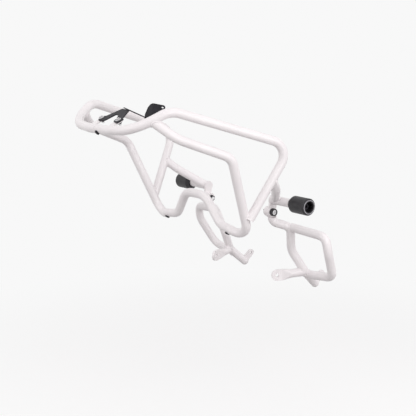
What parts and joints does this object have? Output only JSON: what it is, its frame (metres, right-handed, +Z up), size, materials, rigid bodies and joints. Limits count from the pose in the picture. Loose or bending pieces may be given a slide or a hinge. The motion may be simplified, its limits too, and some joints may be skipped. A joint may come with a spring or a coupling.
{
  "type": "motorcycle crash bars",
  "caption": "White tubular crash bar set with a front hoop, side loops, a raised bar over the wheel, lower guard loops and black crash sliders.",
  "frame": {"origin": "midpoint between the two clamp bolts, on the plane of symmetry", "axes": "+X to the motorcycle's left, +Y to its rear, +Z up; the clamp bolts lie along X"},
  "size_m": [0.6486, 0.6717, 0.552],
  "materials": {
    "coat": "smooth glossy white powder coat",
    "black_steel": "satin black coating",
    "moulded": "fine-grained moulded nylon",
    "zinc": "bright zinc plate"
  },
  "bodies": {
    "root": {"hoop_tube_left": "coat", "hoop_tube_right": "coat", "side_loop_left": "coat", "side_loop_right": "coat", "arched_bar": "coat", "carrier_left": "coat", "carrier_right": "coat", "stub_left": "coat", "stub_right": "coat", "lug_plate_left": "coat", "lug_plate_right": "coat", "bush_left": "coat", "bush_right": "coat", "lower_tube_left": "coat", "lower_tube_right": "coat", "guard_loop_left": "coat", "guard_loop_right": "coat", "foot_left": "coat", "foot_right": "coat", "eye_left": "coat", "eye_right": "coat", "bracket_tabs": "coat", "joint_screws": "black_steel", "slider_screws": "black_steel", "clamp_washers": "black_steel", "clamp_nuts": "black_steel", "front_bracket": "black_steel", "slider_left": "moulded", "slider_right": "moulded", "front_plug": "zinc", "arch_plugs": "zinc", "slider_washers": "zinc", "clamp_bolts": "zinc", "bracket_bolts": "zinc", "bracket_nuts": "zinc"}
  },
  "joints": []
}
